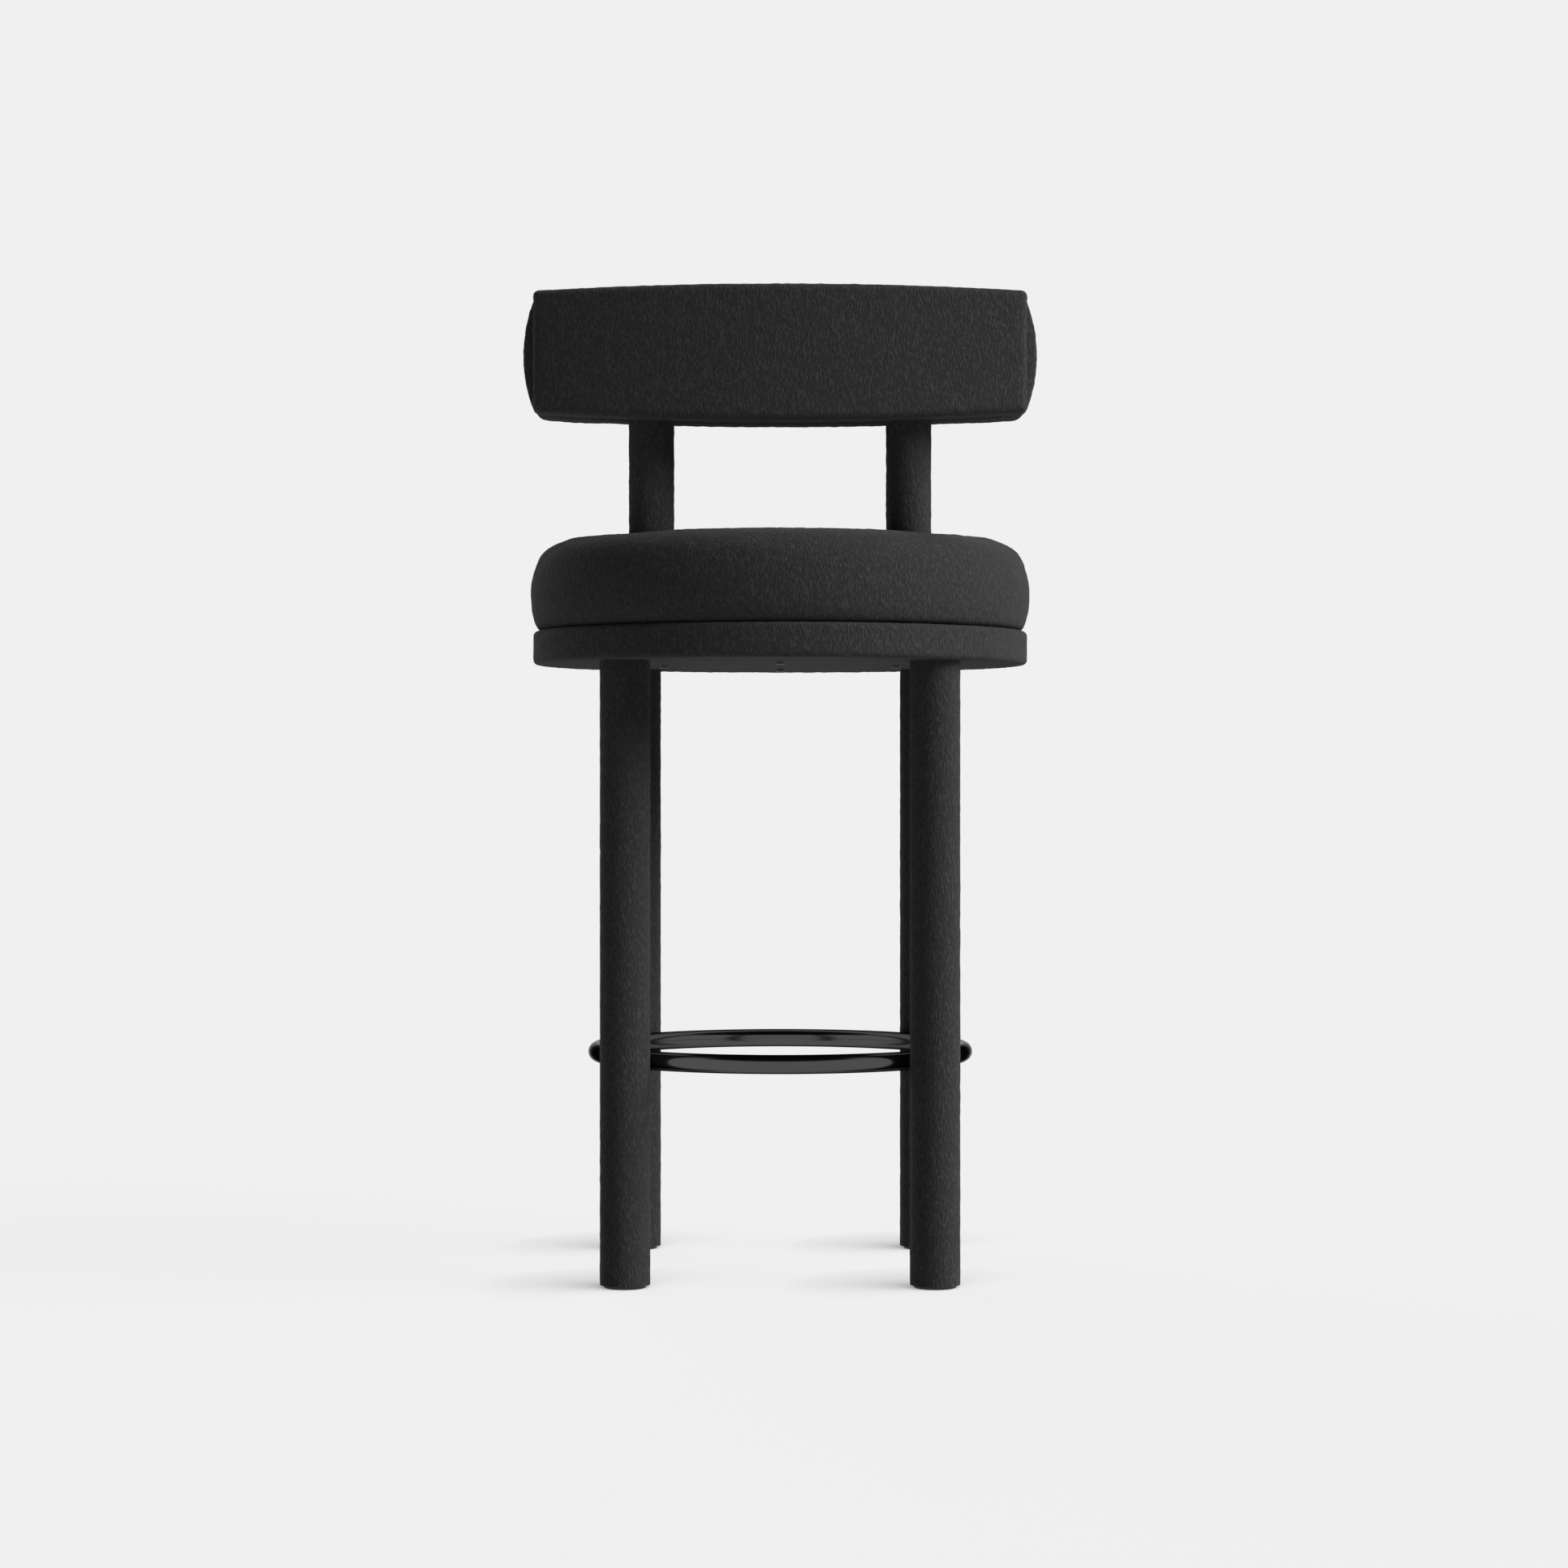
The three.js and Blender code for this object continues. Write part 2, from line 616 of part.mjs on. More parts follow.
// The opening that the turned-in fabric leaves on both sides of the seam.
function seamWindow() {
  const inset = STAPLE_STRIP + BACK_PAD_EDGE_R;
  return bentSlab({
    width: BACK_W - 2 * inset,
    low: BACK_BOTTOM + inset,
    high: BACK_TOP - inset,
    outerR: BACK_SEAM_R + 2 * FABRIC,
    innerR: BACK_SEAM_R - 2 * FABRIC,
    corner: FABRIC,
  });
}

function tubeChannels() {
  return postHoles(POST_TUBE_D, BASE_TOP, POST_TOP + GAP);
}

// Space for the back screws, whose heads bear on the front of the post tubes.
function backScrewHoles() {
  return BACK_SCREW_HEIGHTS.flatMap((height) =>
    screwHole(BACK_SCREW).flatMap((hole) => {
      hole.rotateX(Math.PI / 2).translate(0, -POST_TUBE_D / 2, height);
      return atPosts(() => hole.clone());
    }),
  );
}

function backBoard() {
  return cutAll(boardSlab(FABRIC + GAP), [...tubeChannels(), ...backScrewHoles()]);
}

function backBoardCover() {
  const shell = boardSlab(0).subtract(boardSlab(FABRIC));
  return cutAll(shell.subtract(seamWindow()), tubeChannels());
}

function backPadCover() {
  const shell = padSlab(0).subtract(padSlab(FABRIC));
  return cutAll(shell.subtract(seamWindow()), tubeChannels());
}

function backPadFoam() {
  return cutAll(padSlab(FABRIC + GAP), [...tubeChannels(), ...backScrewHoles()]);
}

// ---------------------------------------------------------------- posts

// Places of the flange screws about the middle of a post.
function flangeScrewPlaces() {
  return spread(FLANGE_SCREWS, Math.PI / 2).map((turn) => [
    FLANGE_SCREW_RING * Math.cos(turn),
    FLANGE_SCREW_RING * Math.sin(turn),
  ]);
}

// A steel tube with a round foot welded on. +Y points to the board of the back.
function postCore() {
  const bore = POST_TUBE_D - 2 * POST_TUBE_WALL;
  const foot = BASE_BOARD_TOP;
  const outer = POST_TUBE_D / 2;
  const start = [bore / 2, foot];
  const profile = [
    start,
    [FLANGE_D / 2, foot],
    [FLANGE_D / 2, foot + FLANGE_T],
    [outer, foot + FLANGE_T],
    [outer, POST_TOP],
    [bore / 2, POST_TOP],
    start,
  ];
  const screwHoles = flangeScrewPlaces().flatMap(([x, y]) => [
    rod(FLANGE_SCREW.d + 2 * GAP, foot - GAP, foot + FLANGE_T, ROUND_SMALL).translate(x, y, 0),
    rod(FLANGE_SCREW.headD + 2 * GAP, FLANGE_SCREW_SEAT, BASE_TOP + FLANGE_T, ROUND_SMALL)
      .translate(x, y, 0),
  ]);
  const crossHoles = BACK_SCREW_HEIGHTS.map((height) =>
    rod(BACK_SCREW.d + 2 * GAP, -POST_TUBE_D, POST_TUBE_D, ROUND_SMALL)
      .rotateX(Math.PI / 2)
      .translate(0, 0, height),
  );
  return cutAll(solid(turned(profile, ROUND_MEDIUM)), [...screwHoles, ...crossHoles]);
}

// The sleeve runs from the flange up to the underside of the back.
function postSleeve(side) {
  const low = BASE_BOARD_TOP + FLANGE_T;
  const full = solid(tube(POST_D, POST_SLEEVE_BORE, low, BACK_BOTTOM + BACK_BOW, ROUND_MEDIUM));
  const slabs = [padSlab(0), boardSlab(0)].map((slab) =>
    surface(slab).translate(-side * POST_X, -POST_Y, -GAP).rotateZ(side * POST_ANGLE),
  );
  return cutAll(full, slabs);
}

function post({ name, side }) {
  const group = new THREE.Group();
  group.add(
    piece("post_tube_" + name, postCore(), BLACK_STEEL),
    piece("post_sleeve_" + name, postSleeve(side), BOUCLE),
  );
  flangeScrewPlaces().forEach(([x, y], i) => {
    const mesh = piece(`flange_screw_${name}_${i + 1}`, screw(FLANGE_SCREW), ZINC_STEEL);
    mesh.position.set(x, y, FLANGE_SCREW_SEAT);
    group.add(mesh);
  });
  BACK_SCREW_HEIGHTS.forEach((height, i) => {
    const mesh = piece(`back_screw_${name}_${i + 1}`, screw(BACK_SCREW), ZINC_STEEL);
    mesh.position.set(0, -POST_TUBE_D / 2, height);
    mesh.rotation.x = Math.PI / 2;
    group.add(mesh);
  });
  group.rotation.z = -side * POST_ANGLE;
  group.position.set(side * POST_X, POST_Y, 0);
  return group;
}

// ---------------------------------------------------------------- assembly

const stool = new THREE.Group();
stool.add(
  ...LEGS.map(leg),
  piece("footrest_ring", footrestRing(), BLACK_NICKEL),
  piece("seat_base_board", seatBaseBoard(), BIRCH_PLY),
  piece("seat_base_cover", seatBaseCover(), BOUCLE),
  piece("seat_cushion_board", seatCushionBoard(), BIRCH_PLY),
  piece("seat_cushion_foam", seatCushionFoam(), FOAM),
  piece("seat_cushion_cover", seatCushionCover(), BOUCLE),
  ...cushionScrews(),
  ...POSTS.map(post),
  piece("back_board", backBoard(), BIRCH_PLY),
  piece("back_board_cover", backBoardCover(), BOUCLE),
  piece("back_pad_foam", backPadFoam(), FOAM),
  piece("back_pad_cover", backPadCover(), BOUCLE),
);

export default stool;
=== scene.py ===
import math

import bmesh
import bpy
import numpy as np
from bpy.props import FloatProperty, FloatVectorProperty, PointerProperty
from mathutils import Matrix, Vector


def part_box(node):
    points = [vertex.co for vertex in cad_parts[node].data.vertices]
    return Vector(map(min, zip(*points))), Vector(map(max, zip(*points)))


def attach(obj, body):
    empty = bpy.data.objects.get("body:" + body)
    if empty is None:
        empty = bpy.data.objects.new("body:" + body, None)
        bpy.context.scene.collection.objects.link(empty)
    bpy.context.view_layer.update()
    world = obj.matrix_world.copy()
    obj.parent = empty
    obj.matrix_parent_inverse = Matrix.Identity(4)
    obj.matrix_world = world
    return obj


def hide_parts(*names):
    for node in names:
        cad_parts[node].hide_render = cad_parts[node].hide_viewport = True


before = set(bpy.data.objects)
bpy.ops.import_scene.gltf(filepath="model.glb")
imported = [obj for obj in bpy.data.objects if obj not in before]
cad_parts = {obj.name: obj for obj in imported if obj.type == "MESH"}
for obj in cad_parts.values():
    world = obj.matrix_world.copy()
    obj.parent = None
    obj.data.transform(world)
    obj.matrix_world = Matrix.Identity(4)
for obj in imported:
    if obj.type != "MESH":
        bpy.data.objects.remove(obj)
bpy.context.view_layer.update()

bl_info = {
    "name": "Round Bar Stool",
    "version": (1, 0, 0),
    "blender": (4, 5, 0),
    "location": "3D View > Sidebar > Stool",
    "description": "Upholstered bar stool with a round seat, a ring footrest and a curved padded back",
    "category": "Add Mesh",
}

BODY = "root"
LEGS = ("rear_left", "rear_right", "front_right", "front_left")
POSTS = ("left", "right")
MM = 0.001
SAME_PLACE = 0.01 * MM
PAST = 10 * MM  # how far a cutter stands past what it cuts
SEAT_CLOTH_STEP = 5 * MM  # side of the squares that the seat cushion's cloth is simulated in
BACK_CLOTH_STEP = 4 * MM


def linear(hex_colour):
    """An sRGB hex colour as the linear RGBA that the shaders take."""
    parts = [int(hex_colour[i : i + 2], 16) / 255 for i in (1, 3, 5)]
    return tuple(c / 12.92 if c <= 0.04045 else ((c + 0.055) / 1.055) ** 2.4 for c in parts) + (1.0,)


# ---------------------------------------------------------------- places, from the frame


def middle(node):
    low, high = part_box(node)
    return (low + high) / 2


BASE_LOW, BASE_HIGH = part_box("seat_base_cover")
CUSHION_LOW, CUSHION_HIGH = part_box("seat_cushion_cover")
BOARD_LOW, BOARD_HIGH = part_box("back_board_cover")
PAD_LOW, PAD_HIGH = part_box("back_pad_cover")
RING_LOW, RING_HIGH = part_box("footrest_ring")
LEG_LOW, LEG_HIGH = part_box("leg_sleeve_rear_left")
POST_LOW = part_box("post_sleeve_left")[0]
SEAT_BOARD_LOW, SEAT_BOARD_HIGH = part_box("seat_cushion_board")
TUBE_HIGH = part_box("post_tube_left")[1]


# ---------------------------------------------------------------- sizes and colours


def length(name, text, default):
    return FloatProperty(name=name, description=text, default=default, min=0, unit="LENGTH")


def colour(name, text, hex_colour):
    return FloatVectorProperty(
        name=name, description=text, default=linear(hex_colour), size=4, min=0, max=1, subtype="COLOR"
    )


class StoolSizes(bpy.types.PropertyGroup):
    """Sizes of the stool's covers, cushions and metal."""

    fabric: length("Fabric", "Thickness of the boucle with its backing", 2.5 * MM)
    nap: length("Nap", "Height of the loops that stand out of the cloth", 0.5 * MM)
    facet: length("Facet", "Side of the small faces that carry the nap", 2.6 * MM)
    leg: length("Leg", "Diameter of a leg over its sleeve", 50 * MM)
    post: length("Post", "Diameter of a post over its sleeve", 45 * MM)
    post_tube: length("Post tube", "Diameter of the steel tube in a post", 38 * MM)
    ring_tube: length("Ring tube", "Diameter of the footrest's tube", 19 * MM)
    ring_wall: length("Ring wall", "Wall of the footrest's tube", 1.5 * MM)
    base_edge: length("Base edge", "Rounding of the seat base's rims", 5 * MM)
    shoulder: length("Shoulder", "Run of the seat cushion's shoulder, inwards", 34 * MM)
    widest: length("Widest", "Height above the seam where the seat cushion is widest", 37 * MM)
    tuck: length("Tuck", "How far the seat cushion draws in at its seam", 11 * MM)
    puff: length("Puff", "How far the air may push a cushion's cover out", 2.5 * MM)
    dome: length("Dome", "Rise of the seat's top from its edge to its middle", 5 * MM)
    bend: length("Bend", "Radius of the back's rear face, seen from above", 750 * MM)
    bow: length("Bow", "Rise of the back's lower edge from the middle to the ends", 12 * MM)
    crown: length("Crown", "Fall of the back's upper edge from the middle to the ends", 1.6 * MM)
    board_edge: length("Board edge", "Rounding of the back board's edges", 6 * MM)
    board_depth: length("Board depth", "Front to back of the covered board", 34 * MM)
    pad_depth: length("Pad depth", "Front to back of the back cushion", 72 * MM)
    pad_edge: length("Pad edge", "Rounding of the back cushion's front edges", 14 * MM)
    seam_edge: length("Seam edge", "Rounding of the back's edges at its seam", 1.5 * MM)
    turned_in: length("Turned in", "Width of boucle folded over the board of the base", 20 * MM)
    glide_reveal: length("Glide reveal", "From the outside of a leg in to its glide", 4 * MM)
    ring_gap: length("Ring gap", "Space round the footrest in the legs' sleeves", 0.5 * MM)
    post_gap: length("Post gap", "Space round each post in the seat cushion", 0.8 * MM)
    tube_gap: length("Tube gap", "Space round each post's tube in the back's covers", 0.4 * MM)
    gap: length("Gap", "Space between pieces that lie against each other", 0.3 * MM)


class StoolColours(bpy.types.PropertyGroup):
    """Colours of the stool's finishes."""

    # painted shade and painted highlight: the yarn is drawn darker between the loops and lighter on their
    # tips
    painted_shade_loop_roots: colour("Loop roots", "Charcoal yarn between the loops", "#272727")
    painted_highlight_loop_tips: colour("Loop tips", "Charcoal yarn on top of the loops", "#323232")
    nickel: colour("Black nickel", "Plated steel of the footrest", "#525253")
    zinc: colour("Zinc", "Plated screws, bolts and nuts", "#b4b8be")
    beech: colour("Beech", "Turned wood of the legs", "#c79a6b")
    beech_fleck: colour("Beech fleck", "Short dark rays in the beech", "#9b6d43")
    birch: colour("Birch", "Face of the plywood", "#d8bb8c")
    birch_band: colour("Birch band", "Late wood in the plywood's face", "#b58f5c")
    foam: colour("Foam", "Upholstery foam", "#e6dab0")
    nylon: colour("Nylon", "Moulded glides", "#19191b")
    floor: colour("Floor", "Plain floor and backdrop", "#f0f0f0")


def sizes():
    return bpy.context.scene.stool_sizes


def colours():
    return bpy.context.scene.stool_colours


# ---------------------------------------------------------------- modelling helpers


def begin():
    """Object mode with nothing selected."""
    if bpy.context.object and bpy.context.object.mode != "OBJECT":
        bpy.ops.object.mode_set(mode="OBJECT")
    bpy.ops.object.select_all(action="DESELECT")


def activate(obj):
    begin()
    obj.select_set(True)
    bpy.context.view_layer.objects.active = obj


def primitive(name, kind, **settings):
    """A new primitive, named, with its place in its mesh."""
    begin()
    getattr(bpy.ops.mesh, f"primitive_{kind}_add")(**settings)
    obj = bpy.context.object
    obj.name = obj.data.name = name
    bpy.ops.object.transform_apply(location=True, rotation=True, scale=True)
    return obj


def upright(name, radius, low, high, around, fill="NGON", at=(0, 0)):
    """An upright cylinder between two heights."""
    return primitive(
        name, "cylinder", vertices=around, radius=radius, depth=high - low, end_fill_type=fill,
        location=(at[0], at[1], (low + high) / 2),
    )


def edit(obj, kind, wanted, step, **settings):
    """Runs one edit-mode operator on the faces or edges that are wanted."""
    activate(obj)
    bpy.ops.object.mode_set(mode="EDIT")
    bpy.ops.mesh.select_mode(type="FACE" if kind == "faces" else "EDGE")
    bpy.ops.mesh.select_all(action="DESELECT")
    mesh = bmesh.from_edit_mesh(obj.data)
    for part in getattr(mesh, kind):
        part.select_set(bool(wanted(part)))
    mesh.select_flush_mode()
    bmesh.update_edit_mesh(obj.data)
    step(**settings)
    bpy.ops.object.mode_set(mode="OBJECT")


def lies_at(part, height):
    return all(abs(v.co.z - height) < SAME_PLACE for v in part.verts)


def rim(height):
    """The edges of a round rim at a height."""
    return lambda edge: lies_at(edge, height)


def across(axis, place):
    """The edges that lie at one place along an axis."""
    return lambda edge: all(abs(v.co[axis] - place) < SAME_PLACE for v in edge.verts)


def along(axis):
    """The edges that run along an axis."""
    return lambda edge: abs((edge.verts[1].co - edge.verts[0].co).normalized()[axis]) > 0.999


def disc(height):
    """The round face at a height."""
    return lambda face: lies_at(face, height) and len(face.verts) > 4


def face_grid(obj, axis, facet):
    """Divides the long edges along an axis until each part is about one facet long."""
    spots = places(obj)
    ends = np.array([edge.vertices[:] for edge in obj.data.edges])
    span = np.abs(spots[ends[:, 1], axis] - spots[ends[:, 0], axis]).max()

    def long(edge):
        line = edge.verts[1].co - edge.verts[0].co
        return abs(line[axis]) > 0.999 * line.length and line.length > 3 * facet

    edit(obj, "edges", long, bpy.ops.mesh.subdivide, number_cuts=round(span / facet) - 1)


def finish_with(obj, kind, **settings):
    """Adds a modifier and applies it."""
    activate(obj)
    modifier = obj.modifiers.new(kind.title(), kind)
    for name, value in settings.items():
        setattr(modifier, name, value)
    bpy.ops.object.modifier_apply(modifier=modifier.name)


def cut(obj, *cutters):
    """Takes the cutters out of the piece and deletes them."""
    for cutter in cutters:
        finish_with(obj, "BOOLEAN", operation="DIFFERENCE", object=cutter, solver="EXACT")
        bpy.data.objects.remove(cutter)


def places(obj):
    found = np.empty(len(obj.data.vertices) * 3)
    obj.data.vertices.foreach_get("co", found)
    return found.reshape(-1, 3)


def move_to(obj, new):
    obj.data.vertices.foreach_set("co", new.ravel())
    obj.data.update()


def raise_nap(obj):
    """Lifts the surface in loops a few millimetres apart, so that its outline isn't a clean line."""
    height = sizes().nap
    loops = bpy.data.textures.new("boucle_loops", "CLOUDS")
    loops.noise_scale = 2.4 * sizes().facet
    loops.noise_depth = 1
    finish_with(
        obj, "DISPLACE", texture=loops, texture_coords="LOCAL", strength=2 * height, mid_level=0.5
    )
    bpy.data.textures.remove(loops)


def wall(obj, thickness):
    """Gives an open shell its wall, inwards."""
    finish_with(obj, "SOLIDIFY", thickness=thickness, offset=-1.0, use_even_offset=True)


def hand_over(obj, material, slot, *nodes, angle=40):
    """Smooth shading, the material, and the piece's place in the frame."""
    activate(obj)
    bpy.ops.object.shade_smooth_by_angle(angle=math.radians(angle))
    obj.data.materials.clear()
    obj.data.materials.append(material)
    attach(obj, BODY)
    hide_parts(*nodes)


def inflate(obj, held, cap):
    """Fills a closed cover with air. The held points stay, and the rest move no further than cap."""
    before = places(obj)
    sewn = obj.vertex_groups.new(name="sewn")
    sewn.add([i for i, place in enumerate(before) if held(*place)], 1.0, "REPLACE")
    activate(obj)
    cloth = obj.modifiers.new("Air", "CLOTH")
    cloth.settings.use_pressure = True
    cloth.settings.uniform_pressure_force = 4
    cloth.settings.effector_weights.gravity = 0
    cloth.settings.vertex_group_mass = sewn.name
    for step in range(1, 21):
        bpy.context.scene.frame_set(step)
    bpy.ops.object.modifier_apply(modifier=cloth.name)
    bpy.context.scene.frame_set(1)
    obj.vertex_groups.clear()
    moved = places(obj) - before
    far = np.linalg.norm(moved, axis=1, keepdims=True)
    move_to(obj, before + moved * np.minimum(1.0, cap / np.maximum(far, 1e-9)))


def foam_inside(cover, name, thickness):
    """The block of foam that fills a cover: the cover's own shape, drawn in by its thickness."""
    activate(cover)
    bpy.ops.object.duplicate()
    foam = bpy.context.object
    foam.name = foam.data.name = name
    finish_with(foam, "DISPLACE", strength=-thickness, mid_level=0.0)
    return foam


def stuffed(obj, voxel, held, cap):
    """A cover made even, filled by simulation, smoothed and divided once."""
    obj.data.remesh_voxel_size = voxel
    activate(obj)
    bpy.ops.object.voxel_remesh()
    finish_with(obj, "SMOOTH", factor=0.5, iterations=2)
    inflate(obj, held, cap)
    finish_with(obj, "SMOOTH", factor=0.5, iterations=2)
    finish_with(obj, "SUBSURF", levels=1, render_levels=1)


# ---------------------------------------------------------------- finishes


def add(tree, kind, links=None, values=None, **settings):
    """A shader node with its settings, its values and what feeds it."""
    node = tree.nodes.new("ShaderNode" + kind)
    for name, value in settings.items():
        setattr(node, name, value)
    for name, value in (values or {}).items():
        node.inputs[name].default_value = value
    for name, socket in (links or {}).items():
        tree.links.new(socket, node.inputs[name])
    return node


def blank(name):
    """A new material: its tree, its shader and the piece's own coordinates."""
    material = bpy.data.materials.new(name)
    material.use_nodes = True
    tree = material.node_tree
    shader = tree.nodes["Principled BSDF"]
    own = tree.nodes.new("ShaderNodeTexCoord").outputs["Object"]
    return material, tree, shader, own


def ramp(tree, factor, low, high, start=0.0, end=1.0):
    node = add(tree, "ValToRGB", {"Fac": factor})
    node.color_ramp.elements[0].position = start
    node.color_ramp.elements[0].color = low
    node.color_ramp.elements[1].position = end
    node.color_ramp.elements[1].color = high
    return node.outputs["Color"]


def looped_boucle():
    """Wool-blend boucle, woven with looped yarn and left unsheared. The loops give short wavy
    upright strokes, no gloss, and a faint haze where the cloth turns away. Its two close charcoals are
    painted shade between the loops and painted highlight on the loop tips."""
    material, tree, shader, own = blank("charcoal looped boucle, woven")
    stroke_width = 1.6 * MM
    stroke_length = 5.5 * MM
    loop = 2.6 * MM
    wave = add(
        tree, "TexNoise", {"Vector": own}, {"Scale": 1 / (7 * MM), "Detail": 1.0, "Roughness": 0.5}
    ).outputs["Color"]
    waver = add(
        tree, "VectorMath", {0: wave}, {1: (0.5, 0.5, 0.5)}, operation="SUBTRACT"
    ).outputs[0]
    sway = add(
        tree, "VectorMath", {0: waver, 2: own}, {1: (2 * MM,) * 3}, operation="MULTIPLY_ADD"
    ).outputs[0]
    upright_scale = (1 / stroke_width, 1 / stroke_width, 1 / stroke_length)
    drawn = add(tree, "Mapping", {"Vector": sway}, {"Scale": upright_scale}).outputs[0]
    strokes = add(
        tree, "TexNoise", {"Vector": drawn}, {"Scale": 1.0, "Detail": 2.0, "Roughness": 0.55}
    ).outputs["Fac"]
    loops = add(
        tree, "TexVoronoi", {"Vector": sway}, {"Scale": 1 / loop}, feature="SMOOTH_F1"
    ).outputs["Distance"]
    raised = add(
        tree, "MapRange", {"Value": strokes}, {"From Min": 0.44, "From Max": 0.62},
        interpolation_type="SMOOTHSTEP",
    ).outputs[0]
    relief = add(
        tree, "Math", {0: loops, 2: raised}, {1: -0.5}, operation="MULTIPLY_ADD"
    ).outputs[0]
    # painted shade and painted highlight: darker where the strokes sink, lighter where they stand up,
    # following the bump's relief
    tint = ramp(tree, raised, colours().painted_shade_loop_roots, colours().painted_highlight_loop_tips)
    tree.links.new(tint, shader.inputs["Base Color"])
    bump = add(tree, "Bump", {"Height": relief}, {"Strength": 0.9, "Distance": 0.6 * MM})
    tree.links.new(bump.outputs["Normal"], shader.inputs["Normal"])
    shader.inputs["Roughness"].default_value = 0.95
    shader.inputs["Specular IOR Level"].default_value = 0.08
    shader.inputs["Sheen Weight"].default_value = 0.02
    shader.inputs["Sheen Roughness"].default_value = 0.5
    return material


def black_nickel():
    """Steel tube, polished and plated in black nickel. A dark mirror with a slight haze that shows
    the pale room as smooth grey bands and the dark ceiling as a thin black stripe."""
    material, tree, shader, own = blank("black nickel plated steel, satin")
    haze = add(
        tree, "TexNoise", {"Vector": own}, {"Scale": 1 / (18 * MM), "Detail": 3.0}
    ).outputs["Fac"]
    spread = add(tree, "MapRange", {"Value": haze}, {"To Min": 0.14, "To Max": 0.2}).outputs[0]
    tree.links.new(spread, shader.inputs["Roughness"])
    shader.inputs["Base Color"].default_value = colours().nickel
    shader.inputs["Specular Tint"].default_value = linear("#606060")
    shader.inputs["Metallic"].default_value = 1.0
    return material


def powder_coat():
    """Steel tubes and screws, powder-coated satin black. A fine orange peel breaks up its soft highlight."""
    material, tree, shader, own = blank("satin black powder coat")
    peel = add(tree, "TexNoise", {"Vector": own}, {"Scale": 1 / (1.5 * MM), "Detail": 1.0})
    bump = add(tree, "Bump", {"Height": peel.outputs["Fac"]}, {"Strength": 0.2, "Distance": 0.1 * MM})
    tree.links.new(bump.outputs["Normal"], shader.inputs["Normal"])
    tint = ramp(tree, peel.outputs["Fac"], linear("#222224"), linear("#2a2a2c"))
    tree.links.new(tint, shader.inputs["Base Color"])
    shader.inputs["Roughness"].default_value = 0.38
    return material


def zinc_plate():
    """Steel fasteners, zinc plated and clear passivated. A bright grey with cloudy patches."""
    material, tree, shader, own = blank("zinc plated steel, passivated")
    patch = 4 * MM
    cloud = add(tree, "TexNoise", {"Vector": own}, {"Scale": 1 / patch, "Detail": 3.0}).outputs["Fac"]
    tint = ramp(tree, cloud, linear("#9aa0a8"), colours().zinc)
    tree.links.new(tint, shader.inputs["Base Color"])
    spread = add(tree, "MapRange", {"Value": cloud}, {"To Min": 0.25, "To Max": 0.45}).outputs[0]
    tree.links.new(spread, shader.inputs["Roughness"])
    shader.inputs["Metallic"].default_value = 1.0
    return material


def turned_beech():
    """Steamed beech, turned and left bare. Even pinkish wood with short dark flecks along its
    length."""
    material, tree, shader, own = blank("steamed beech, turned")
    fleck_width = 0.9 * MM
    fleck_length = 9 * MM
    lengthwise = add(
        tree, "Mapping", {"Vector": own},
        {"Scale": (1 / fleck_width, 1 / fleck_width, 1 / fleck_length)},
    ).outputs[0]
    fleck = add(tree, "TexNoise", {"Vector": lengthwise}, {"Scale": 1.0, "Detail": 2.0}).outputs["Fac"]
    tint = ramp(tree, fleck, colours().beech, colours().beech_fleck, 0.55, 0.72)
    tree.links.new(tint, shader.inputs["Base Color"])
    bump = add(tree, "Bump", {"Height": fleck}, {"Strength": 0.15, "Distance": 0.1 * MM})
    tree.links.new(bump.outputs["Normal"], shader.inputs["Normal"])
    shader.inputs["Roughness"].default_value = 0.6
    return material


def birch_plywood():
    """Birch plywood, sanded. Pale wavy bands on its faces and thin layers at its edges."""
    material, tree, shader, own = blank("birch plywood, sanded")
    grain = add(
        tree, "Mapping", {"Vector": own}, {"Scale": (1 / (120 * MM), 1 / (12 * MM), 1 / (1.4 * MM))}
    ).outputs[0]
    bands = add(
        tree, "TexWave", {"Vector": grain}, {"Scale": 0.6, "Distortion": 5.0, "Detail": 2.0},
        bands_direction="Y",
    ).outputs["Fac"]
    layers = add(
        tree, "TexNoise", {"Vector": grain}, {"Scale": 1.0, "Detail": 2.0}
    ).outputs["Fac"]
    mixed = add(tree, "Math", {0: bands, 1: layers}, operation="MULTIPLY").outputs[0]
    tint = ramp(tree, mixed, colours().birch, colours().birch_band, 0.1, 0.8)
    tree.links.new(tint, shader.inputs["Base Color"])
    shader.inputs["Roughness"].default_value = 0.65
    return material


def open_cell_foam():
    """Polyurethane foam, cut from a block. Pale yellow with fine open cells, quite matt."""
    material, tree, shader, own = blank("open cell upholstery foam, cut")
    cells = add(tree, "TexVoronoi", {"Vector": own}, {"Scale": 1 / (1.6 * MM)}).outputs["Distance"]
    tint = ramp(tree, cells, linear("#c9bb8c"), colours().foam, 0.0, 0.6)
    tree.links.new(tint, shader.inputs["Base Color"])
    bump = add(tree, "Bump", {"Height": cells}, {"Strength": 0.5, "Distance": 0.5 * MM})
    tree.links.new(bump.outputs["Normal"], shader.inputs["Normal"])
    shader.inputs["Roughness"].default_value = 0.95
    return material


def moulded_nylon():
    """Black nylon, injection moulded. A soft low gloss with the mould's fine spark grain."""
    material, tree, shader, own = blank("black nylon, moulded")
    spark = 0.8 * MM
    grain = add(tree, "TexNoise", {"Vector": own}, {"Scale": 1 / spark, "Detail": 1.0}).outputs["Fac"]
    tint = ramp(tree, grain, linear("#141416"), colours().nylon)
    tree.links.new(tint, shader.inputs["Base Color"])
    bump = add(tree, "Bump", {"Height": grain}, {"Strength": 0.3, "Distance": 0.05 * MM})
    tree.links.new(bump.outputs["Normal"], shader.inputs["Normal"])
    shader.inputs["Roughness"].default_value = 0.5
    return material


